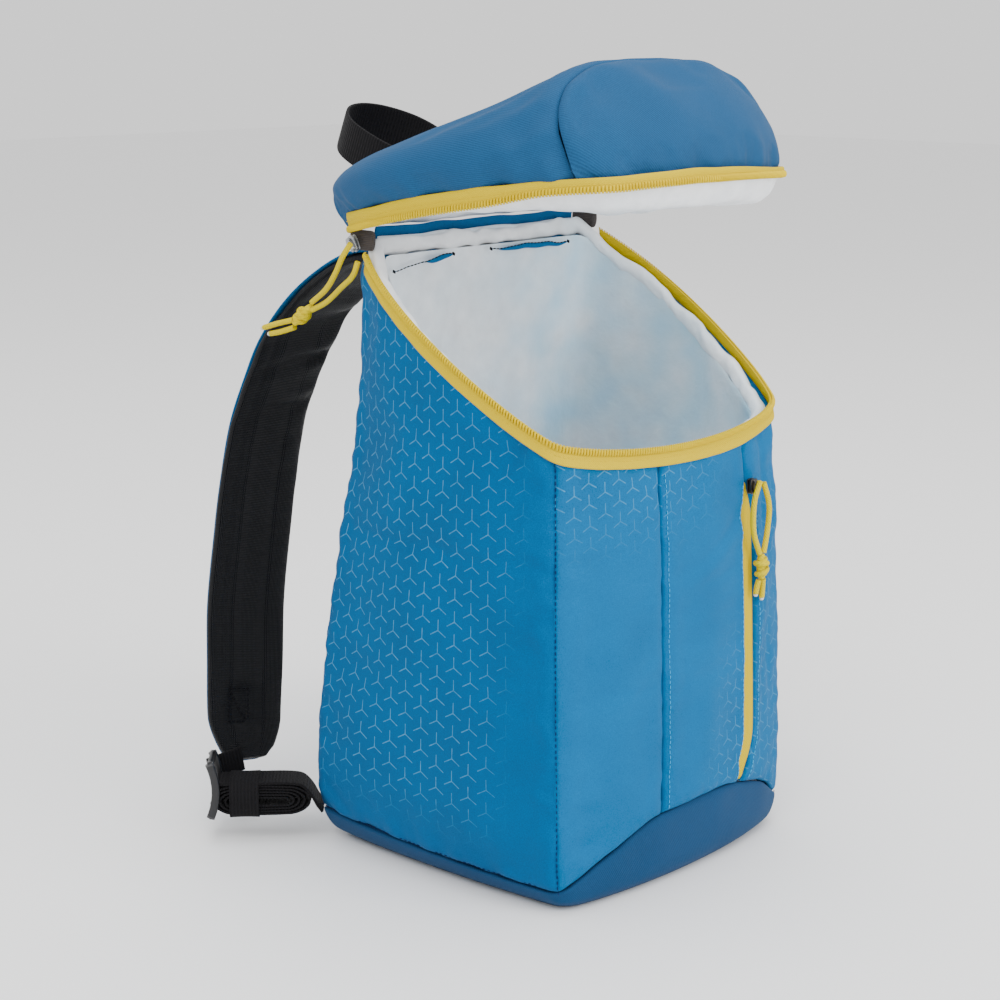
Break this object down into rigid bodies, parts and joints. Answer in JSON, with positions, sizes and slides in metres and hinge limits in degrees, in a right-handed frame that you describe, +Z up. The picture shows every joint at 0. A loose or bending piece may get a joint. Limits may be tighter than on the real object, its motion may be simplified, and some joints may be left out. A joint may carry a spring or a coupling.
{
  "type": "cooler backpack",
  "caption": "Insulated backpack with a boxy padded body, slanted zip mouth, domed lid standing open, front zip pocket, grab handle and two padded shoulder straps.",
  "frame": {"origin": "bottom centre of the bag's bounding box, on the resting plane; the cord pulls of the two zips are left out of that box", "axes": "+Z up the bag's height; +Y from the front pocket face towards the shoulder straps; +X towards the pocket zip's side"},
  "size_m": [0.2994, 0.276, 0.4216],
  "materials": {
    "blue_cloth": "matt coated polyester",
    "navy_cloth": "matt coated polyester",
    "lining_film": "satin wipe-clean film",
    "yellow_tape": "woven zip tape",
    "grey_binding": "woven",
    "slider_metal": "polished",
    "yellow_cord": "braided",
    "black_webbing": "woven",
    "black_mesh": "knitted mesh",
    "black_plastic": "moulded"
  },
  "bodies": {
    "root": {"back_panel": "blue_cloth", "base_panel": "navy_cloth", "body_zip_tape": "yellow_tape", "body_zip_teeth": "yellow_tape", "front_panel_left": "blue_cloth", "front_panel_middle": "blue_cloth", "front_panel_right": "blue_cloth", "grab_handle": "black_webbing", "ladder_lock_left": "black_plastic", "ladder_lock_right": "black_plastic", "lid_front_panel": "navy_cloth", "lid_hinge": "lining_film", "lid_lining": "lining_film", "lid_top_panel": "navy_cloth", "lid_zip_tape": "yellow_tape", "lid_zip_teeth": "yellow_tape", "lining": "lining_film", "lower_webbing_left": "black_webbing", "lower_webbing_right": "black_webbing", "main_pull_knot": "yellow_cord", "main_pull_lower": "yellow_cord", "main_pull_lower_tail": "yellow_cord", "main_pull_upper": "yellow_cord", "main_pull_upper_tail": "yellow_cord", "main_zip_slider": "slider_metal", "pocket_pull_knot": "yellow_cord", "pocket_pull_left": "yellow_cord", "pocket_pull_left_tail": "yellow_cord", "pocket_pull_right": "yellow_cord", "pocket_pull_right_tail": "yellow_cord", "pocket_zip_slider": "slider_metal", "pocket_zip_tape": "yellow_tape", "pocket_zip_teeth": "yellow_tape", "rim_hem": "lining_film", "side_panel_left": "blue_cloth", "side_panel_right": "blue_cloth", "strap_cover_left": "blue_cloth", "strap_cover_right": "blue_cloth", "strap_loop_left": "black_webbing", "strap_loop_right": "black_webbing", "strap_pad_left": "black_mesh", "strap_pad_right": "black_mesh", "web_keeper_left": "black_webbing", "web_keeper_right": "black_webbing", "webbing_roll_left": "black_webbing", "webbing_roll_right": "black_webbing", "zip_end_tab_left": "grey_binding", "zip_end_tab_right": "grey_binding"}
  },
  "joints": []
}
